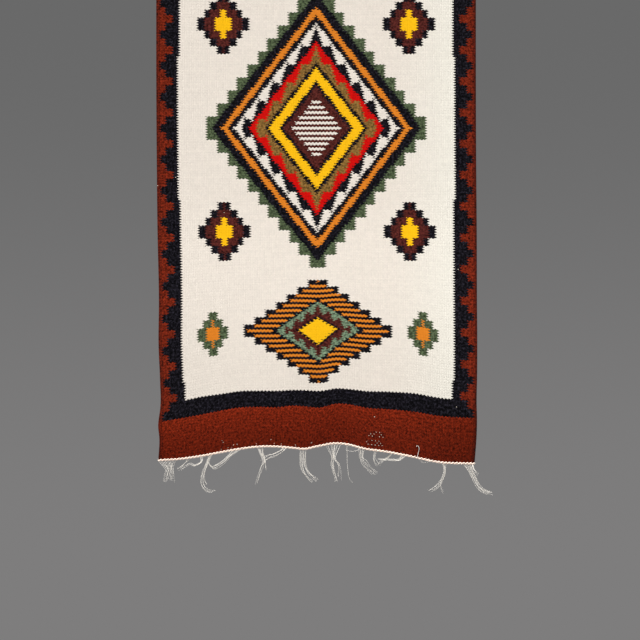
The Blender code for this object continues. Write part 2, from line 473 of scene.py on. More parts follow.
@dataclass
class WoolFibres:
    """The hairs of spun wool: a light and dark mottling, single pale hairs and a fuzzy relief."""

    mottle_scale: float = 230.0
    tuft_scale: float = 900.0
    tuft_tone: float = 0.16
    strand_tone: float = 0.34
    hair_limits: Pair = (0.72, 0.64)
    strand_relief: float = 0.6
    tree: NodeTree = field(init=False)

    def __post_init__(self) -> None:
        """Builds the node group once, for every wool in the scene."""
        self.tree = bpy.data.node_groups.new("wool fibres", "ShaderNodeTree")
        for label in ("Place", "Run"):
            self.tree.interface.new_socket(name=label, in_out="INPUT", socket_type="NodeSocketVector")
        for label in ("Mottle", "Shade", "Hair", "Height"):
            self.tree.interface.new_socket(name=label, in_out="OUTPUT", socket_type="NodeSocketFloat")
        sheet = Sheet(self.tree)
        source = sheet.add("NodeGroupInput").outputs
        mottle = sheet.noise(source["Place"], self.mottle_scale, 3.0) - 0.5
        tuft = sheet.noise(source["Place"], self.tuft_scale)
        strand = sheet.noise(source["Run"], 1.0, 3.0)
        shade = (tuft - 0.5) * self.tuft_tone + (strand - 0.5) * self.strand_tone + 1.0
        hair = strand.fall(*self.hair_limits)
        height = strand * self.strand_relief + tuft * (1 - self.strand_relief)
        sheet.add("NodeGroupOutput", {"Mottle": mottle, "Shade": shade, "Hair": hair, "Height": height})


@dataclass(frozen=True)
class WoolFinish:
    """How wool takes light, in a shader's own settings."""

    roughness: float = 0.95
    specular: float = 0.03
    sheen: float = 0.015
    sheen_roughness: float = 0.6

    def start(self, name: str) -> tuple[Material, Sheet, Node]:
        """Starts a material with these settings.

        Args:
            name: The material's name.

        Returns:
            The material, a sheet to draw on, and its shader.
        """
        material = bpy.data.materials.new(name)
        material.use_nodes = True
        shader = material.node_tree.nodes["Principled BSDF"]
        shader.inputs["Roughness"].default_value = self.roughness
        shader.inputs["Specular IOR Level"].default_value = self.specular
        shader.inputs["Sheen Weight"].default_value = self.sheen
        shader.inputs["Sheen Roughness"].default_value = self.sheen_roughness
        return material, Sheet(material.node_tree), shader

    @staticmethod
    def raise_up(sheet: Sheet, shader: Node, height: Number, distance: float) -> None:
        """Bends a shader's normal to a fine relief, which stands up by the distance where height is 1."""
        bump = sheet.add("ShaderNodeBump", {"Distance": distance, "Height": height})
        sheet.feed(shader.inputs["Normal"], bump.outputs["Normal"])


class Ring(NamedTuple):
    """What lies within a share of a lozenge: a yarn, with a toothed edge or in stripes."""

    share: float
    yarn: Yarn
    tooth: float = 0.0
    tooth_ribs: float = 1.0
    striped: bool = False


class Lozenge(NamedTuple):
    """A lozenge, by ribs from the middle and passes from the nearer end. terrace is its steps' height."""

    rib: float
    bead: float
    half_ribs: float
    half_beads: float
    terrace: float
    rings: tuple[Ring, ...]


DESIGN = (
    Lozenge(0, 124.5, 64, 56.5, 5, (Ring(1.0, Yarn.GREEN),)),
    Lozenge(
        0, 124.5, 59, 52, 0,
        (
            Ring(1.00, Yarn.BLACK), Ring(0.90, Yarn.ORANGE), Ring(0.84, Yarn.BLACK), Ring(0.78, Yarn.CREAM),
            Ring(0.71, Yarn.BLACK, 0.09, 4.0), Ring(0.64, Yarn.RED), Ring(0.57, Yarn.OLIVE, 0.08, 4.0),
            Ring(0.49, Yarn.BLACK), Ring(0.45, Yarn.YELLOW), Ring(0.35, Yarn.BLACK),
            Ring(0.31, Yarn.MAROON), Ring(0.23, Yarn.CREAM, striped=True),
        ),
    ),
    Lozenge(0, 44.5, 45, 22.4, 3, (Ring(1.0, Yarn.BLACK),)),
    Lozenge(
        0, 44.5, 41, 21, 0,
        (
            Ring(1.00, Yarn.BLACK), Ring(0.96, Yarn.ORANGE, striped=True), Ring(0.62, Yarn.BLACK),
            Ring(0.56, Yarn.SAGE), Ring(0.44, Yarn.MAROON, 0.14, 3.0), Ring(0.30, Yarn.BLACK),
            Ring(0.25, Yarn.YELLOW),
        ),
    ),
    Lozenge(
        52, 84.5, 16, 13.5, 3,
        (Ring(1.0, Yarn.BLACK), Ring(0.78, Yarn.MAROON), Ring(0.40, Yarn.YELLOW)),
    ),
    Lozenge(59, 44.5, 10.5, 10.5, 3, (Ring(1.0, Yarn.GREEN), Ring(0.50, Yarn.ORANGE))),
)


class Step(NamedTuple):
    """One step of the side border: how many ribs wide it is within so many passes of a tip's middle."""

    beads: float
    ribs: float


@dataclass(frozen=True)
class SideBorder:
    """The stepped edge along each selvedge."""

    repeat: float = 12
    first_tip: float = 22.5
    flare_ribs: float = 1.9
    flare_beads: float = 131
    narrow: float = 1.8
    steps: tuple[Step, ...] = (Step(4.5, 5.2), Step(1.5, 8.8))


class Worn(NamedTuple):
    """A worn place, by the ribs and passes of its centre, its half sizes, and how much of it shows warp."""

    rib: float
    bead: float
    half_ribs: float
    half_beads: float
    share: float


WORN_PLACES = (
    Worn(122.3, 5.4, 5.6, 1.3, 0.75),
    Worn(122.3, 2.2, 5.6, 1.3, 0.85),
    Worn(121.5, 11.8, 5.0, 0.5, 0.35),
    Worn(36.1, 2.3, 1.1, 1.9, 0.80),
    Worn(62.0, 1.6, 28.0, 1.2, 0.10),
)


@dataclass(frozen=True)
class Wear:
    """How worn places look. Their reaches are where a place's middle gives way to its surroundings."""

    rate: float = 0.0005
    open_reach: Pair = (0.7, 1.2)
    thin_reach: Pair = (0.6, 1.6)
    thin_shade: float = 0.40
    thin_tone: Colour = linear(60, 18, 12)
    dot_ribs: float = 0.21
    dot_beads: float = 0.13
    dot_edge: Pair = (0.5, 1.5)
    dot_rows_to_a_bead: float = 1.25


class PaintedShade(NamedTuple):
    """A painted shade, at its full strength up to start and gone at end."""

    strength: float
    start: float
    end: float

    def at(self, place: Number) -> Number:
        """How much of the tone it takes at a place."""
        return place.fall(self.start, self.end) * self.strength


@dataclass(frozen=True)
class WeaveLook:
    """How the weave varies its yarns' tone and lays painted shade on them: strengths are shares of a yarn's
    tone, places are ribs and passes.

    Lively yarns are the deeper ones, whose grain shows more than the cream's.
    """

    lively_depths: Pair = (0.05, 0.75)
    black_depths: Pair = (0.012, 0.05)
    crown_breadth: float = 1.6
    bead_shift: float = 0.14
    hook_ribs: float = 0.80
    strands_to_a_bead: int = 4
    strand_slant: float = 0.35
    run_across: float = 0.9
    run_up: float = 9.0
    slub_across: float = 0.07
    slub_up: float = 1.3
    slub: float = 0.15
    bead_chance: float = 0.06
    lively_chance: float = 0.32
    lively_mottle: float = 3.9
    # painted shade in the grooves between ribs, between beads and between strands
    groove_shade: float = 0.07
    lively_groove_shade: float = 0.23
    strand_groove_shade: float = 0.10
    # painted shade: the yarns darker towards the hem, where the lower band faces down, away from the light
    hem_painted_shade: float = 0.40
    hem_painted_shade_beads: float = 19.0
    # painted shade: the lower cloth a little darker, fully up to pass 24 and gone by pass 90
    low_painted_shade: PaintedShade = PaintedShade(0.07, 24.0, 90.0)
    right_shares: Pair = (0.97, 0.70)
    # painted shade: the lower right corner darker, where the cloth turns away from the light
    corner_painted_shade: PaintedShade = PaintedShade(0.20, 12.0, 24.0)
    # the pale yarns lighter and less warm towards the right
    right_lightening: Triple = (0.045, 0.10, 0.10)
    speck_chance: float = 0.5
    speck_mottle: float = 7.5
    speck_tone: Triple = (0.011, 0.010, 0.014)
    hair: float = 0.07
    hair_tone: Colour = linear(150, 140, 132)
    # painted shade on the turned selvedges, darker at the right where they curve away from the light from
    # the left, and in the seam inside them
    edge_shade_tone: Colour = linear(30, 12, 10)
    edge_painted_shade: PaintedShade = PaintedShade(0.50, 0.2, 2.2)
    right_edge_painted_shade: PaintedShade = PaintedShade(0.16, 0.5, 3.2)
    seam_painted_shade: PaintedShade = PaintedShade(0.25, 0.15, 0.55)
    rib_dome: float = 0.40
    bead_dome: float = 0.45
    strand_dome: float = 0.15
    fibre_relief: float = 0.35
    lively_relief: float = 0.35
    relief: float = 0.00055


@dataclass
class TapestryCloth:
    """The tapestry: a sheet of wool ribs on the hanging's shape, its design counted in ribs and passes."""

    shape: HangingShape
    fibres: WoolFibres
    finish: WoolFinish = WoolFinish()
    look: WeaveLook = WeaveLook()
    worn: Wear = Wear()
    border: SideBorder = SideBorder()
    columns_per_rib: int = 4
    selvedge_thickness: float = 0.0036
    selvedge_ribs: float = 1.75
    rib_share: float = 0.86
    valley_share: float = 0.70
    end_lip: float = 0.0008
    row_spans: tuple[tuple[float, float, int], ...] = (
        (0.0052, 0.2000, 26),
        (0.2000, 0.5200, 18),
        (0.5200, 1.2948, 13),
    )
    uv_name: str = "weave_count"

    def heights(self) -> Array:
        """The heights over the hem of the mesh's rows, the outer ones past the cloth's ends by a lip."""
        spans = [np.linspace(low, high, rows, endpoint=False) for low, high, rows in self.row_spans]
        return np.concatenate([[-self.end_lip], *spans, [self.shape.weave.length + self.end_lip]])

    def mesh(self) -> Object:
        """Models the cloth: a grid on the hanging's shape, thickened more along each rib.

        Returns:
            The cloth's object, with its count of ribs and passes as its UV map.
        """
        weave = self.shape.weave
        columns = weave.ribs * self.columns_per_rib
        heights = self.heights()
        bpy.ops.mesh.primitive_grid_add(x_subdivisions=columns, y_subdivisions=len(heights) - 1, size=2)
        cloth = bpy.context.object
        cloth.name = cloth.data.name = "tapestry_cloth"
        flat = np.empty(len(cloth.data.vertices) * 3)
        cloth.data.vertices.foreach_get("co", flat)
        flat = flat.reshape(-1, 3)
        ribs = (flat[:, 0] + 1) / 2 * weave.ribs
        row = np.rint((flat[:, 1] + 1) / 2 * (len(heights) - 1)).astype(int)
        height = heights[row]
        cloth.data.vertices.foreach_set("co", self.shape.points(ribs / weave.ribs, height).ravel())
        while cloth.data.uv_layers:
            cloth.data.uv_layers.remove(cloth.data.uv_layers[0])
        layer = cloth.data.uv_layers.new(name=self.uv_name)
        corner = np.empty(len(cloth.data.loops), int)
        cloth.data.loops.foreach_get("vertex_index", corner)
        layer.uv.foreach_set("vector", np.column_stack((ribs, height / weave.bead_height))[corner].ravel())
        self.thicken(cloth, ribs)
        bpy.ops.object.shade_smooth_by_angle(angle=math.radians(65))
        return cloth

    def thicken(self, cloth: Object, ribs: Array) -> None:
        """Gives the sheet its thickness, full at the selvedges and least between ribs.

        Args:
            cloth: The sheet.
            ribs: Each vertex's ribs from the left.
        """
        from_edge = np.minimum(ribs, self.shape.weave.ribs - ribs)
        crown = np.where(from_edge < self.selvedge_ribs, 1.0, self.rib_share)
        share = self.valley_share + (crown - self.valley_share) * np.abs(np.sin(math.pi * ribs))
        weight = (share - self.valley_share) / (1 - self.valley_share)
        group = cloth.vertex_groups.new(name="ribs")
        for level in np.unique(weight.round(3)):
            members = np.flatnonzero(weight.round(3) == level)
            group.add(members.tolist(), float(level), "REPLACE")
        wall = cloth.modifiers.new("thickness", "SOLIDIFY")
        wall.thickness = self.selvedge_thickness
        wall.offset = 0.0
        wall.vertex_group = group.name
        wall.thickness_vertex_group = self.valley_share
        bpy.ops.object.modifier_apply(modifier=wall.name)
        cloth.vertex_groups.clear()

    def dress(self, cloth: Object) -> None:
        """Gives the cloth its woven design, relief, wear and painted shade.

        Args:
            cloth: The cloth's object.
        """
        look, weave = self.look, self.shape.weave
        material, sheet, shader = self.finish.start("tapestry_wool_woven")
        count = sheet.add("ShaderNodeUVMap", uv_map=self.uv_name)
        across, up, _ = sheet.separate(count.outputs["UV"])
        rise = (sheet.math("SINE", across * math.pi) * look.crown_breadth).least(1.0).most(-1.0)
        passes = up + rise * look.bead_shift
        row = passes.floor() + 0.5
        hook = (up.side() * 2 - 1.0) * look.hook_ribs
        yarn = self.chart((across + hook).floor() + 0.5, row)
        depth = sheet.separate(yarn)[0]
        lively = depth.fall(*look.lively_depths)
        black = depth.fall(*look.black_depths)

        place = sheet.combine(across * weave.rib_pitch, up * weave.bead_height)
        run = sheet.combine(across * look.run_across, up * look.run_up)
        wool = sheet.group(self.fibres.tree, Place=place, Run=run)
        rib_side = across.side()
        bead_side = passes.side()
        strand_side = (passes * look.strands_to_a_bead + across * look.strand_slant).side()
        groove_shade = (rib_side**6.0 * 0.5).most(bead_side**8.0)
        chance = sheet.chance(across.floor(), row)
        slub = sheet.noise(sheet.combine(across * look.slub_across, passes * look.slub_up), 1.0) - 0.5
        right = (across / weave.ribs).fall(*look.right_shares)

        grain = wool["Mottle"] * look.lively_mottle + (chance - 0.5) * look.lively_chance
        shade = wool["Shade"] + slub * look.slub + (chance - 0.5) * look.bead_chance + grain * lively
        # painted shade: each term below darkens the colour, in the grooves, towards the hem, at the lower
        # right and low on the cloth
        for painted_shade in (
            groove_shade * (lively * look.lively_groove_shade + look.groove_shade),
            strand_side**3.0 * look.strand_groove_shade,
            (1.0 - up / look.hem_painted_shade_beads).most(0.0) * look.hem_painted_shade,
            right * look.corner_painted_shade.at(up),
            look.low_painted_shade.at(up),
        ):
            shade = shade * (1.0 - painted_shade)
        lighter_right = right * (1.0 - lively)
        tone = sheet.combine(*(shade * (lighter_right * gain + 1.0) for gain in look.right_lightening))
        colour = sheet.mix(yarn, tone, blend="MULTIPLY")
        speck = (chance**4.0 * look.speck_chance + (wool["Mottle"] * look.speck_mottle).most(0.0)) * black
        colour = sheet.mix(colour, sheet.combine(*(speck * part for part in look.speck_tone)), blend="ADD")
        colour = (wool["Hair"] * look.hair).paint(colour, look.hair_tone)
        colour = self.selvedge(colour, across, right)
        sheet.feed(shader.inputs["Base Color"], self.wear(colour, across, up))

        domes = (1.0 - rib_side**2.0) * look.rib_dome + (1.0 - bead_side**4.0) * look.bead_dome
        domes = domes + (1.0 - strand_side**2.0) * look.strand_dome + wool["Height"] * look.fibre_relief
        height = domes * (lively * look.lively_relief + (1 - look.lively_relief))
        self.finish.raise_up(sheet, shader, height, look.relief)
        cloth.data.materials.clear()
        cloth.data.materials.append(material)

    def chart(self, column: Number, row: Number) -> NodeSocket:
        """Draws the design for each cell of the weave.

        Args:
            column: The middle of the cell, in ribs from the left.
            row: The middle of the cell, in passes from the hem.

        Returns:
            The colour of the cell's yarn.
        """
        weave, border = self.shape.weave, self.border
        aside = abs(column - weave.ribs / 2)
        from_end = row.least(weave.beads - row)
        from_edge = weave.ribs / 2 - aside
        colour: object = Yarn.CREAM.colour
        for motif in DESIGN:
            colour = self.lozenge(colour, motif, aside, from_end, row)
        flare = (1.0 - from_end / border.flare_beads).most(0.0) * border.flare_ribs
        colour = from_edge.below(flare + weave.side_ribs).paint(colour, Yarn.BLACK.colour)
        colour = from_end.below(weave.band_beads + weave.stripe_beads).paint(colour, Yarn.BLACK.colour)
        from_tip = abs(row - border.first_tip).bounce(border.repeat / 2)
        width: object = border.narrow
        for step in border.steps:
            width = (from_tip.below(step.beads) * step.ribs).most(width)
        colour = from_edge.below(width).paint(colour, Yarn.DEEP_RUST.colour)
        return from_end.below(weave.band_beads).paint(colour, Yarn.RUST.colour)

    @staticmethod
    def lozenge(colour: object, motif: Lozenge, aside: Number, from_end: Number, row: Number) -> object:
        """Lays one lozenge and its mirrored ones over the design.

        Args:
            colour: The design so far.
            motif: The lozenge.
            aside: Ribs from the cloth's middle.
            from_end: Passes from the nearer end.
            row: Passes from the hem.

        Returns:
            The design with the lozenge on it.
        """
        along = abs(aside - motif.rib) if motif.rib else aside
        away = abs(from_end - motif.bead)
        if motif.terrace:
            away = ((away / motif.terrace).floor() + 0.5) * motif.terrace
        share = along / motif.half_ribs + away / motif.half_beads
        for ring in motif.rings:
            edge = share + (along.sway(ring.tooth_ribs) - 0.5) * ring.tooth if ring.tooth else share
            mask = edge.below(ring.share)
            if ring.striped:
                mask = mask * (row * 0.5).fract().below(0.5)
            colour = mask.paint(colour, ring.yarn.colour)
        return colour

    def selvedge(self, colour: object, across: Number, right: Number) -> NodeSocket:
        """Lays painted shade on the turned edge, more at the right, and in the seam inside it.

        Args:
            colour: The colour so far.
            across: Ribs from the left.
            right: How far it is on the right side, from 0 to 1.

        Returns:
            The colour with the selvedges' painted shade on it.
        """
        look, middle = self.look, self.shape.weave.ribs / 2
        from_edge = middle - abs(across - middle)
        # painted shade on the turned edges and in the seam inside them
        turned = look.edge_painted_shade.at(from_edge) + right * look.right_edge_painted_shade.at(from_edge)
        seam = look.seam_painted_shade.at(abs(from_edge - self.selvedge_ribs))
        return turned.most(seam).paint(colour, look.edge_shade_tone)

    def wear(self, colour: object, across: Number, up: Number) -> NodeSocket:
        """Lets the warp show in dots, thick in the worn places and rare elsewhere.

        Args:
            colour: The colour so far.
            across: Ribs from the left.
            up: Passes from the hem.

        Returns:
            The colour with the dots on it.
        """
        worn = self.worn
        share: object = worn.rate
        thin: object = 0.0
        for place in WORN_PLACES:
            far = ((across - place.rib) / place.half_ribs) ** 2.0
            far = far + ((up - place.bead) / place.half_beads) ** 2.0
            share = (far.fall(*worn.open_reach) * place.share).most(share)
            thin = (far.fall(*worn.thin_reach) * place.share).most(thin)
        colour = (thin * worn.thin_shade).paint(colour, worn.thin_tone)
        rib = across.floor()
        gap = (up * worn.dot_rows_to_a_bead + 0.5).floor()
        brick = ((rib + gap) * 0.5).fract().below(0.25)
        open_here = across.sheet.chance(rib, gap, 7.0).below(share) * brick
        rib_side = (across.fract() - 0.5) / worn.dot_ribs
        bead_side = (up - gap / worn.dot_rows_to_a_bead) / worn.dot_beads
        dot = (rib_side**2.0 + bead_side**2.0).fall(*worn.dot_edge)
        return (dot * open_here).paint(colour, Yarn.WARP.colour)


class Lock(NamedTuple):
    """A lock of warp ends. Places are right of the middle and below the straight hem.

    gather and splay are the lock's width where it draws in and at its tips, and lane is its depth.
    """

    root_from: float
    root_to: float
    threads: int
    gather: float
    splay: float
    lane: float
    route: tuple[Pair, ...]


LOCKS = (
    Lock(-0.318, -0.28, 11, 0.017, 0.025, 0.0, ((-0.294, 0.033), (-0.294, 0.044), (-0.297, 0.063))),
    Lock(-0.265, -0.249, 3, 0.003, 0.004, 0.0, ((-0.262, 0.022), (-0.273, 0.032), (-0.28, 0.039))),
    Lock(-0.235, -0.226, 3, 0.004, 0.006, -0.0035,
         ((-0.231, 0.019), (-0.243, 0.025), (-0.253, 0.022), (-0.265, 0.026), (-0.277, 0.037))),
    Lock(-0.215, -0.208, 4, 0.005, 0.007, 0.0,
         ((-0.219, 0.023), (-0.226, 0.042), (-0.229, 0.061), (-0.221, 0.075), (-0.204, 0.079))),
    Lock(-0.213, -0.211, 2, 0.001, 0.002, 0.0035, ((-0.219, 0.023), (-0.225, 0.048), (-0.219, 0.066))),
    Lock(-0.169, -0.148, 5, 0.005, 0.006, -0.0035,
         ((-0.173, 0.007), (-0.187, 0.021), (-0.205, 0.031), (-0.213, 0.024), (-0.216, 0.015))),
    Lock(-0.119, -0.113, 4, 0.004, 0.005, 0.0,
         ((-0.1105, 0.004), (-0.1055, 0.0155), (-0.1075, 0.028), (-0.1125, 0.045), (-0.122, 0.07))),
    Lock(-0.11, -0.107, 3, 0.002, 0.003, 0.0, ((-0.107, 0.004), (-0.1035, 0.0175), (-0.102, 0.038))),
    Lock(-0.068, -0.057, 4, 0.004, 0.006, -0.0065,
         ((-0.07, -0.003), (-0.087, 0.006), (-0.099, 0.01), (-0.116, 0.022))),
    Lock(-0.034, -0.019, 8, 0.013, 0.016, 0.0,
         ((-0.027, 0.021), (-0.022, 0.038), (-0.011, 0.051), (0.002, 0.06))),
    Lock(0.016, 0.038, 5, 0.005, 0.006, 0.0,
         ((0.0325, 0.011), (0.0325, 0.024), (0.036, 0.043), (0.0405, 0.066))),
    Lock(0.034, 0.053, 3, 0.004, 0.005, -0.0035,
         ((0.0365, 0.011), (0.0425, 0.022), (0.046, 0.041), (0.046, 0.055))),
    Lock(0.061, 0.061, 1, 0.0, 0.0, 0.0,
         ((0.061, 0.006), (0.06, 0.023), (0.0615, 0.044), (0.0665, 0.058), (0.072, 0.066))),
    Lock(0.086, 0.086, 1, 0.0, 0.0, -0.0035, ((0.0815, -0.003), (0.069, 0.0008), (0.053, -0.0008))),
    Lock(0.086, 0.096, 5, 0.008, 0.012, 0.0,
         ((0.09, 0.009), (0.095, 0.02), (0.105, 0.032), (0.1235, 0.048))),
    Lock(0.115, 0.121, 3, 0.003, 0.004, 0.0, ((0.116, 0.01), (0.119, 0.021), (0.1226, 0.027))),
    Lock(0.168, 0.18, 4, 0.004, 0.006, -0.0035,
         ((0.166, 0.015), (0.151, 0.0165), (0.135, 0.015), (0.117, 0.011))),
    Lock(0.149, 0.154, 3, 0.002, 0.003, 0.0035, ((0.144, 0.009), (0.131, 0.016), (0.123, 0.027))),
    Lock(0.205, 0.205, 1, 0.0, 0.0, 0.0,
         ((0.2105, 0.0185), (0.2185, 0.0228), (0.225, 0.02), (0.2262, 0.016))),
    Lock(0.25, 0.256, 4, 0.004, 0.007, 0.0,
         ((0.257, 0.034), (0.2547, 0.048), (0.2475, 0.0634), (0.235, 0.074), (0.222, 0.079))),
    Lock(0.259, 0.259, 2, 0.001, 0.002, 0.0035,
         ((0.2585, 0.034), (0.2552, 0.048), (0.248, 0.0645), (0.262, 0.098))),
    Lock(0.29, 0.309, 8, 0.01, 0.007, 0.0,
         ((0.308, 0.036), (0.315, 0.051), (0.322, 0.066), (0.334, 0.0775), (0.356, 0.086))),
    Lock(0.311, 0.314, 3, 0.002, 0.003, -0.0035, ((0.314, 0.033), (0.32, 0.041), (0.327, 0.048))),
)


def smooth_line(guide: Array, places: Array) -> Array:
    """The smooth line through a few points.

    Args:
        guide: The points, a row each.
        places: Where to read the line, from 0 to 1.

    Returns:
        A row of x, y, z for each place.
    """
    spans = len(guide) - 1
    i = np.minimum((places * spans).astype(int), spans - 1)
    t = (places * spans - i)[:, None]
    before = guide[np.maximum(i - 1, 0)]
    start = guide[i]
    end = guide[i + 1]
    after = guide[np.minimum(i + 2, spans)]
    return 0.5 * (
        2 * start
        + (end - before) * t
        + (2 * before - 5 * start + 4 * end - after) * t**2
        + (3 * start - before - 3 * end + after) * t**3
    )


def yarn_mesh(
    name: str, lines: Sequence[Array], radius: float, sides: int, taper: float = 1.0
) -> Object:
    """Models yarns as one mesh of closed round tubes.

    Args:
        name: The piece's name.
        lines: The centre line of each yarn.
        radius: A yarn's radius at its root.
        sides: How finely a yarn is rounded, from 0.
        taper: The share of the radius at its tip.

    Returns:
        The piece.
    """
    curve = bpy.data.curves.new(name, "CURVE")
    curve.dimensions = "3D"
    curve.bevel_depth = radius
    curve.bevel_resolution = sides
    curve.use_fill_caps = True
    for line in lines:
        spline = curve.splines.new("POLY")
        spline.points.add(len(line) - 1)
        shares = np.linspace(1.0, taper, len(line))
        spline.points.foreach_set("co", np.column_stack((line, np.ones(len(line)))).ravel())
        spline.points.foreach_set("radius", shares)
    draft = bpy.data.objects.new(name, curve)
    bpy.context.collection.objects.link(draft)
    bpy.ops.object.select_all(action="DESELECT")
    draft.select_set(True)
    bpy.context.view_layer.objects.active = draft
    bpy.ops.object.convert(target="MESH")
    bpy.ops.object.mode_set(mode="EDIT")
    bpy.ops.mesh.select_all(action="SELECT")
    bpy.ops.mesh.remove_doubles(threshold=1e-6)
    bpy.ops.mesh.normals_make_consistent(inside=False)
    bpy.ops.object.mode_set(mode="OBJECT")
    bpy.ops.object.shade_smooth_by_angle(angle=math.radians(70))
    return bpy.context.object


@dataclass
class WarpYarn:
    """The cream warp yarn's finish, shared by the cords and the fringe."""

    fibres: WoolFibres
    finish: WoolFinish = WoolFinish(roughness=0.85, specular=0.2, sheen=0.15)
    relief: float = 0.00012
    run_scale: Triple = (900.0, 900.0, 500.0)

    def material(self, name: str, yarn: Yarn) -> Material:
        """Makes the yarn's material.

        Args:
            name: The material's name.
            yarn: Its colour.

        Returns:
            The material.
        """
        material, sheet, shader = self.finish.start(name)
        place = sheet.add("ShaderNodeTexCoord").outputs["Object"]
        run = sheet.combine(*(part * scale for part, scale in zip(sheet.separate(place), self.run_scale)))
        wool = sheet.group(self.fibres.tree, Place=place, Run=run)
        tone = sheet.combine(*[wool["Shade"]] * 3)
        sheet.feed(shader.inputs["Base Color"], sheet.mix(yarn.colour, tone, blend="MULTIPLY"))
        self.finish.raise_up(sheet, shader, wool["Height"], self.relief)
        return material


@dataclass
class TwistedCord:
    """A cord of two plies twisted round each other, one lobe to each two ribs."""

    shape: HangingShape
    steps_per_turn: int = 32
    ribs_per_turn: int = 4
    ply_radius: float = 0.0016
    ply_offset: float = 0.0011
    lift: float = 0.0006
    ply_sides: int = 2
    hem_samples: int = 400

    def mesh(self, name: str, centre: Array) -> Object:
        """Models the cord along its centre line.

        Args:
            name: The piece's name.
            centre: The centre line, a row each for x, y, z.

        Returns:
            The cord.
        """
        spans = np.linalg.norm(np.diff(centre, axis=0), axis=1)
        run = np.concatenate([[0.0], np.cumsum(spans)])
        turn = self.shape.weave.rib_pitch * self.ribs_per_turn
        steps = int(run[-1] / turn * self.steps_per_turn)
        places = np.linspace(0, run[-1], steps + 1)
        line = np.column_stack([np.interp(places, run, centre[:, k]) for k in range(3)])
        along = np.gradient(line, axis=0)
        along /= np.linalg.norm(along, axis=1)[:, None]
        beside = np.cross(along, np.array([0.0, 1.0, 0.0]))
        front = np.cross(beside, along)
        plies = []
        for phase in (0.0, math.pi):
            angle = places / turn * math.tau + phase
            offset = beside * np.cos(angle)[:, None] + front * np.sin(angle)[:, None]
            plies.append(line + offset * self.ply_offset)
        return yarn_mesh(name, plies, self.ply_radius, self.ply_sides)

    def hem(self) -> Object:
        """The cord along the hem."""
        line = self.shape.cord_line(np.linspace(*self.shape.hem_ends, self.hem_samples))
        return self.mesh("hem_cord", line + np.array([0.0, 0.0, self.lift]))

    def top(self) -> Object:
        """The cord along the top edge."""
        height = -self.shape.cord_radius - self.lift
        line = [[share * self.shape.weave.width, 0.0, height] for share in (-0.5, 0.0, 0.5)]
        return self.mesh("top_edge_cord", np.array(line))


def draws(noise: random.Random, low: float, high: float) -> Array:
    """Three random numbers between two limits."""
    return np.array([noise.uniform(low, high) for _ in range(3)])


@dataclass
class Strand:
    """A few threads of a lock that lie together: how far the strand reaches and how it sways."""

    reach: float
    drift: Array
    turns: Array
    phase: Array


@dataclass
class WarpFringe:
    """The loose warp ends under the hem, in uneven locks."""

    shape: HangingShape
    radius: float = 0.00043
    tip_share: float = 0.45
    steps: int = 26
    shortest: float = 0.90
    strand_sway: float = 0.0013
    thread_sway: float = 0.0007
    stray: float = 0.0018
    rearmost: float = 0.0045
    threads_to_a_strand: int = 2
    loosest: int = 4
    thread_place: Pair = (0.3, 0.7)
    thread_reach: float = 0.93
    turns: Pair = (0.6, 1.5)
    thread_turns: float = 1.7
    seed: int = 23

    def strand(self, noise: random.Random) -> Strand:
        """Draws one strand's reach and sway."""
        reach = noise.uniform(self.shortest, 1.0)
        return Strand(reach, draws(noise, -1, 1), draws(noise, *self.turns), draws(noise, 0, math.tau))

    def thread(self, lock: Lock, side: float, strand: Strand, noise: random.Random) -> Array:
        """The line of one thread.

        Args:
            lock: Its lock.
            side: Its place in the lock, from -0.5 to 0.5.
            strand: The strand that it lies in.
            noise: The source of its unevenness.

        Returns:
            Its points, a row of x, y, z each.
        """
        pitch = self.shape.weave.rib_pitch
        middle = (lock.root_from + lock.root_to) / 2
        root_x = lock.root_from + (lock.root_to - lock.root_from) * (side + 0.5)
        if lock.threads > self.loosest:
            root_x = round(root_x / pitch) * pitch
        ends = self.shape.cord_line(np.array([middle, root_x]))
        centre = [ends[0]] + [np.array([x, 0.0, self.shape.hem - below]) for x, below in lock.route]
        depth = ends[1][1] + lock.lane + noise.uniform(-1, 1) * self.stray
        guide = [ends[1]]
        last = len(centre) - 1
        for k in range(1, last + 1):
            along = centre[min(k + 1, last)] - centre[k - 1]
            beside = np.array([-along[2], 0.0, along[0]])
            beside /= np.linalg.norm(beside)
            width = lock.gather + (lock.splay - lock.gather) * (k - 1) / (last - 1)
            point = centre[k] + beside * side * width
            point[1] = depth
            guide.append(point + strand.drift * self.stray * k / last)
        reach = strand.reach * noise.uniform(self.thread_reach, 1.0)
        line = smooth_line(np.array(guide), np.linspace(0, reach, self.steps + 1))
        share = np.linspace(0, 1, self.steps + 1)[:, None]
        sway = np.sin(math.tau * strand.turns * share + strand.phase) - np.sin(strand.phase)
        own_phase = draws(noise, 0, math.tau)
        own = np.sin(math.tau * strand.turns * self.thread_turns * share + own_phase) - np.sin(own_phase)
        line += share * (sway * self.strand_sway + own * self.thread_sway)
        line[:, 1] = np.minimum(line[:, 1], self.rearmost)
        return line

    def mesh(self) -> Object:
        """Models every thread of the fringe.

        Returns:
            The fringe, as one piece.
        """
        lines = []
        for number, lock in enumerate(LOCKS):
            noise = random.Random(self.seed + number)
            for n in range(lock.threads):
                if n % self.threads_to_a_strand == 0:
                    strand = self.strand(noise)
                side = (n + noise.uniform(*self.thread_place)) / lock.threads - 0.5
                lines.append(self.thread(lock, side if lock.threads > 1 else 0.0, strand, noise))
        return yarn_mesh("warp_fringe", lines, self.radius, 1, self.tip_share)


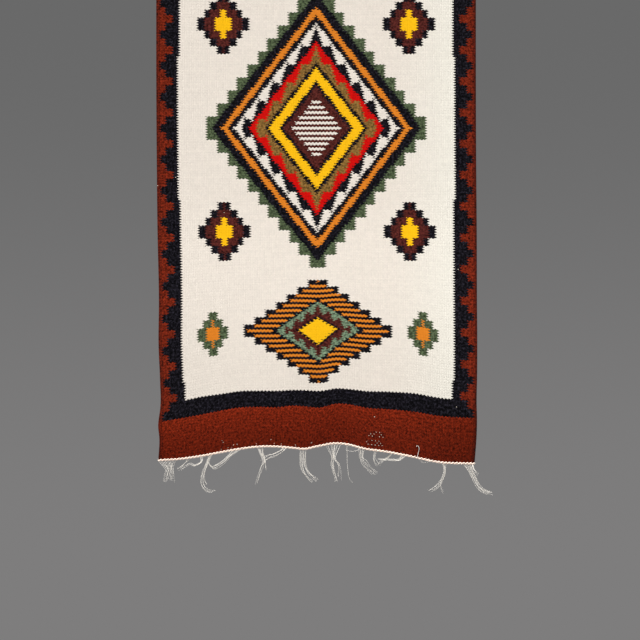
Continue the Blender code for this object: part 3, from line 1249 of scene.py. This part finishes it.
@dataclass
class LooseThread:
    """The short curled thread that lies on the face above the hem."""

    shape: HangingShape
    radius: float = 0.0006
    stand_off: float = 0.0026
    points: int = 40
    tip_share: float = 0.8
    route: tuple[Pair, ...] = (
        (0.2014, -0.0105),
        (0.2020, -0.0060),
        (0.2040, 0.0020),
        (0.2046, 0.0078),
        (0.2030, 0.0122),
        (0.2000, 0.0132),
        (0.1996, 0.0112),
    )

    def mesh(self) -> Object:
        """Models the thread just in front of the cloth's face.

        Returns:
            The thread.
        """
        guide = []
        for x, over in self.route:
            place = np.array([x])
            height = over + self.shape.sag(place, np.zeros(1))
            depth = self.shape.depth(place, np.maximum(height, 0.0))[0]
            guide.append((x, depth - self.stand_off, self.shape.hem + over))
        line = smooth_line(np.array(guide), np.linspace(0, 1, self.points))
        return yarn_mesh("loose_thread", [line], self.radius, 1, self.tip_share)


class SoftLight(NamedTuple):
    """A lamp with a square face: its name, place, width and watts."""

    name: str
    place: Triple
    size: float
    power: float


@dataclass
class Studio:
    """The plain studio: a pale floor, soft lights, a grey surround and the camera."""

    shape: HangingShape
    floor_drop: float = 1.2
    floor_size: float = 3.6
    camera_distance: float = 3.022
    camera_right: float = 0.0071
    camera_over_hem: float = 0.264
    lens: float = 85.0
    surround_low: Colour = linear(126, 125, 125)
    surround_high: Colour = linear(105, 105, 105)
    surround_rise: Pair = (-0.16, 0.20)
    ambient: float = 0.28
    floor_tone: float = 0.34
    floor_swells: float = 1.5
    floor_mottle: float = 0.04
    aim_over_hem: float = 0.4
    key_from: Triple = (-1.6, -2.9, 6.4)
    key_softness: float = 0.5
    key_power: float = 5.32
    soft_lights: tuple[SoftLight, ...] = (
        SoftLight("fill_light", (2.6, -3.4, -0.4), 2.2, 22.0),
        SoftLight("back_light", (1.2, 3.0, 0.6), 2.0, 90.0),
    )

    def floor(self) -> Object:
        """Lays the floor, well below the hanging.

        Returns:
            The floor.
        """
        below = self.shape.hem - self.floor_drop
        bpy.ops.mesh.primitive_plane_add(size=self.floor_size, location=(0, 0, below))
        floor = bpy.context.object
        floor.name = "studio_floor"
        bpy.ops.object.transform_apply(location=True)
        material = bpy.data.materials.new("pale_floor")
        material.use_nodes = True
        shader = material.node_tree.nodes["Principled BSDF"]
        sheet = Sheet(material.node_tree)
        place = sheet.add("ShaderNodeTexCoord").outputs["Object"]
        tone = sheet.noise(place, self.floor_swells, 4.0) * self.floor_mottle + self.floor_tone
        sheet.feed(shader.inputs["Base Color"], sheet.combine(tone, tone, tone * 0.99))
        shader.inputs["Roughness"].default_value = 0.8
        floor.data.materials.append(material)
        return floor

    def surround(self) -> None:
        """Sets the grey surround that the camera sees, painted lighter low down and darker high up as a
        painted falloff of light, and the even light that it gives.
        """
        world = bpy.data.worlds.new("studio_surround")
        bpy.context.scene.world = world
        world.use_nodes = True
        sheet = Sheet(world.node_tree)
        shown = world.node_tree.nodes["Background"]
        up = sheet.separate(sheet.add("ShaderNodeTexCoord").outputs["Generated"])[2]
        # painted falloff of light on the surround: lighter low down, darker high up
        grey = up.fall(*self.surround_rise).paint(self.surround_high, self.surround_low)
        sheet.feed(shown.inputs["Color"], grey)
        even = sheet.add("ShaderNodeBackground", {"Color": (1.0, 1.0, 1.0, 1.0), "Strength": self.ambient})
        seen = sheet.add("ShaderNodeLightPath").outputs["Is Camera Ray"]
        choice = sheet.add("ShaderNodeMixShader", {0: seen, 1: even.outputs[0], 2: shown.outputs[0]})
        sheet.feed(world.node_tree.nodes["World Output"].inputs[0], choice.outputs[0])

    @staticmethod
    def lamp(name: str, kind: str, place: Sequence[float], aim: Sequence[float], power: float) -> Light:
        """Adds a lamp.

        Args:
            name: The lamp's name.
            kind: Blender's word for its kind.
            place: Where it stands.
            aim: The place that it points at.
            power: Its strength.

        Returns:
            The lamp's settings.
        """
        turn = (Vector(aim) - Vector(place)).to_track_quat("-Z", "Y").to_euler()
        bpy.ops.object.light_add(type=kind, location=place, rotation=turn)
        lamp = bpy.context.object
        lamp.name = name
        lamp.data.energy = power
        return lamp.data

    def lights(self) -> None:
        """Adds the main light, far off above and to the left, and the soft ones on the lower cloth."""
        self.lamp("key_light", "SUN", self.key_from, (0, 0, 0), self.key_power).angle = self.key_softness
        for soft in self.soft_lights:
            aim = (0, 0, self.shape.hem + self.aim_over_hem)
            self.lamp(soft.name, "AREA", soft.place, aim, soft.power).size = soft.size

    def camera(self) -> None:
        """Stands the camera where the photograph was taken from."""
        place = (self.camera_right, -self.camera_distance, self.shape.hem + self.camera_over_hem)
        bpy.ops.object.camera_add(location=place, rotation=(math.pi / 2, 0, 0))
        camera = bpy.context.object
        camera.name = "studio_camera"
        camera.data.lens = self.lens
        bpy.context.scene.camera = camera

    def build(self) -> Object:
        """Sets up the whole studio.

        Returns:
            The floor.
        """
        self.camera()
        self.surround()
        self.lights()
        bpy.context.scene.view_settings.view_transform = "Standard"
        return self.floor()


def report(piece: Object) -> None:
    """Logs a piece's name and its count of triangles."""
    piece.data.calc_loop_triangles()
    log.info("%s: %d triangles", piece.name, len(piece.data.loop_triangles))


def main() -> None:
    """Builds the studio and the hanging's pieces in order, gives each piece its material and attaches it to
    the root body.
    """
    logging.basicConfig(level=logging.INFO, format="%(name)s %(message)s")
    bpy.ops.object.select_all(action="DESELECT")
    shape = HangingShape()
    studio = Studio(shape)
    studio.build()

    fibres = WoolFibres()
    tapestry = TapestryCloth(shape, fibres)
    cloth = tapestry.mesh()
    tapestry.dress(cloth)
    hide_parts("woven_panel")

    yarn = WarpYarn(fibres)
    twisted = yarn.material("warp_yarn_twisted", Yarn.CORD)
    loose_ends = yarn.material("warp_yarn_loose", Yarn.FRINGE)
    cord = TwistedCord(shape)
    hem_cord = cord.hem()
    top_cord = cord.top()
    fringe = WarpFringe(shape).mesh()
    loose = LooseThread(shape).mesh()
    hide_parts("fringed_cord")
    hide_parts("fringed_cord")
    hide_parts("top_cord")
    for piece, material, slot in (
        (hem_cord, twisted, "warp_yarn"),
        (fringe, loose_ends, "warp_yarn"),
        (top_cord, twisted, "top_cord_yarn"),
        (loose, loose_ends, "warp_yarn"),
    ):
        piece.data.materials.clear()
        piece.data.materials.append(material)

    pieces = [cloth, hem_cord, top_cord, fringe, loose]
    for piece in pieces:
        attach(piece, "root")
        report(piece)


if __name__ == "__main__":
    main()
